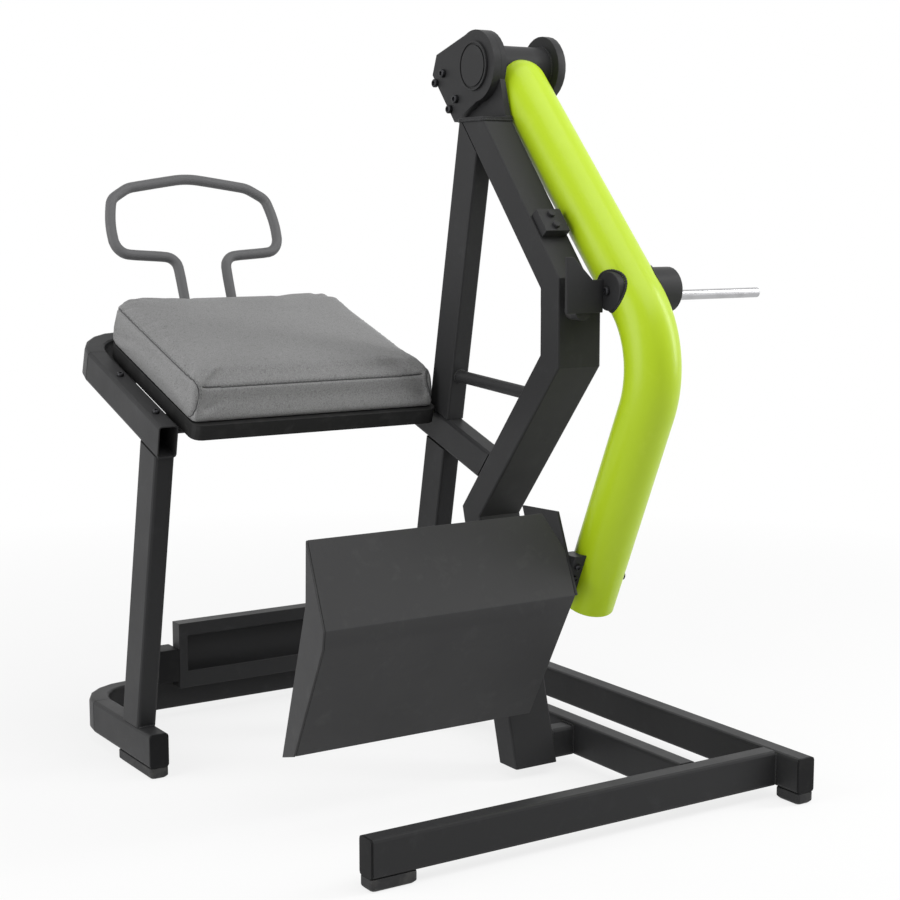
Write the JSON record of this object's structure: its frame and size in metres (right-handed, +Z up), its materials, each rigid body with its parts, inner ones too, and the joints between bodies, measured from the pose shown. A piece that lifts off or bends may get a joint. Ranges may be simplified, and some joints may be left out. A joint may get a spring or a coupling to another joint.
{
  "type": "glute kickback machine",
  "caption": "Standing glute kickback machine with a sloped chest pad, bent-bar handle, twin columns and a green swinging arm that carries a foot plate.",
  "frame": {"origin": "centre of the footprint on the floor", "axes": "+Z up, +Y the way the user faces towards the handle, +X towards the swinging arm"},
  "size_m": [1.0322, 1.2808, 1.4524],
  "materials": {
    "frame_paint": "semi-gloss",
    "handle_paint": "semi-gloss",
    "arm_paint": "semi-gloss",
    "plate_paint": "satin",
    "cap_plastic": "matte",
    "rubber": "matte",
    "pad_vinyl": "satin",
    "pad_board": "matte",
    "bright_steel": "satin",
    "dark_steel": "satin"
  },
  "bodies": {
    "frame": {"bearing_housing": "frame_paint", "bumper_block": "frame_paint", "column_cap": "frame_paint", "column_tie_front": "frame_paint", "column_tie_rear": "frame_paint", "cross_foot_cap": "cap_plastic", "foot_front_left": "rubber", "foot_front_right": "rubber", "foot_rear_left": "rubber", "foot_rear_right": "rubber", "frame_bolt_1": "dark_steel", "frame_bolt_2": "dark_steel", "front_column_lower": "frame_paint", "front_column_upper": "frame_paint", "front_cross_tube": "frame_paint", "handle": "handle_paint", "head_plate": "frame_paint", "housing_bolt_1": "dark_steel", "housing_bolt_2": "dark_steel", "housing_bolt_3": "dark_steel", "housing_bolt_4": "dark_steel", "housing_cap": "frame_paint", "left_leg": "frame_paint", "left_rail": "frame_paint", "left_stub": "frame_paint", "left_stub_cap": "cap_plastic", "pad_board": "pad_board", "pad_crossbar_1": "frame_paint", "pad_crossbar_2": "frame_paint", "pad_cushion": "pad_vinyl", "pad_frame_front": "frame_paint", "pad_frame_left": "frame_paint", "pivot_shaft": "bright_steel", "rear_column": "frame_paint", "rear_cross_foot": "frame_paint", "right_beam": "frame_paint", "right_rail": "frame_paint", "right_rail_cap": "cap_plastic", "stop_bumper": "rubber", "tie_rod": "frame_paint", "toe_board": "frame_paint", "toe_board_bracket": "cap_plastic"},
    "arm": {"arm": "arm_paint", "boss_bolt": "dark_steel", "end_disc": "frame_paint", "foot_plate": "plate_paint", "foot_plate_gusset": "frame_paint", "foot_plate_wall": "plate_paint", "hub_bearing_1": "bright_steel", "hub_bearing_2": "bright_steel", "hub_sleeve": "frame_paint", "left_boss": "frame_paint", "mount_bolt_1": "dark_steel", "mount_bolt_2": "dark_steel", "mount_bolt_3": "dark_steel", "plate_mount_block": "frame_paint", "right_hub": "frame_paint", "side_rod": "bright_steel", "stop_tab": "frame_paint", "through_bolt": "dark_steel"}
  },
  "joints": [
    {"name": "arm_pivot", "type": "hinge", "parent": "frame", "child": "arm", "pos_m": [0.214, -0.0224, 1.383], "axis": [-1, 0, 0], "range_deg": [0, 60]}
  ]
}
